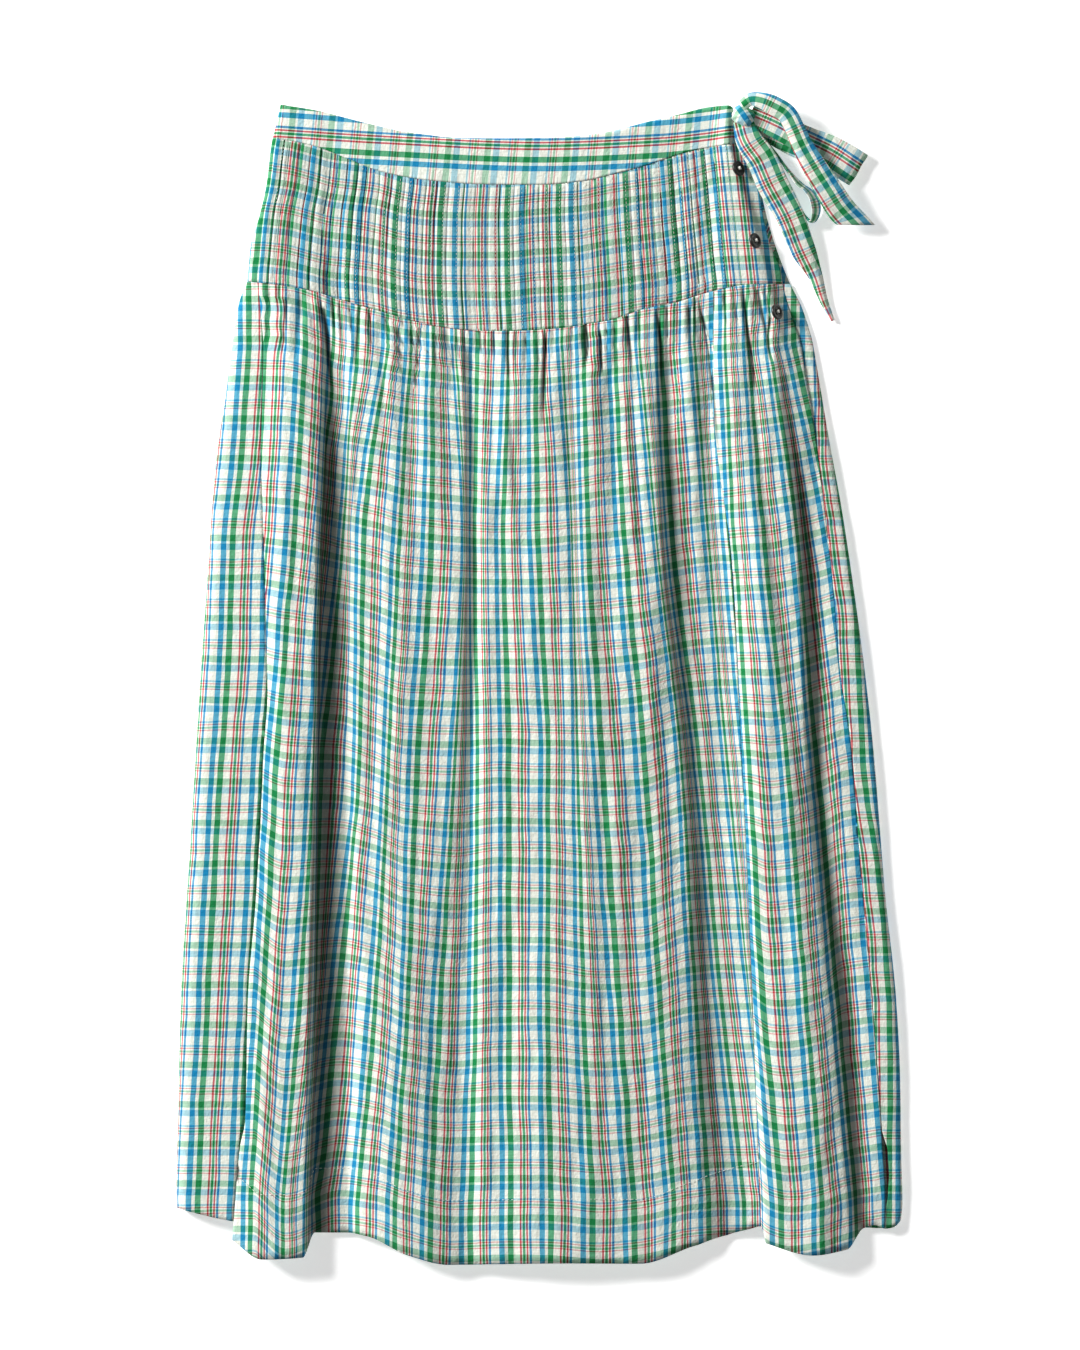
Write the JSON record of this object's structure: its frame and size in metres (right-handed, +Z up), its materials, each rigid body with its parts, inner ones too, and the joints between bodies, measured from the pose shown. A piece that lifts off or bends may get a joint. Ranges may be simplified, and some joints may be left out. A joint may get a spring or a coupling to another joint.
{
  "type": "midi skirt",
  "caption": "Midi skirt in checked crinkle cotton laid flat: shaped waistband, pin-tucked yoke, gathered panels, buttoned side placket and a tie bow at the waist.",
  "frame": {"origin": "on the surface that the skirt lies on, under the middle of its box", "axes": "+X to the viewer's right, which is the placket's side, +Y from the hem to the waist, +Z up off the surface, out of the front"},
  "size_m": [0.5518, 0.891, 0.021],
  "materials": {
    "checked_cotton": "crinkled plain weave, matt",
    "dark_horn": "horn, softly polished",
    "cotton_thread": "twisted thread"
  },
  "bodies": {
    "root": {"waistband_front": "checked_cotton", "waistband_back": "checked_cotton", "yoke_front": "checked_cotton", "yoke_back": "checked_cotton", "skirt_front": "checked_cotton", "skirt_side_placket": "checked_cotton", "skirt_side_plain": "checked_cotton", "skirt_back": "checked_cotton", "button_1": "dark_horn", "button_2": "dark_horn", "button_3": "dark_horn", "tie_knot": "checked_cotton", "tie_tail_long": "checked_cotton", "tie_tail_upper": "checked_cotton", "tie_loop_flat": "checked_cotton", "tie_loop_standing": "checked_cotton"}
  },
  "joints": []
}
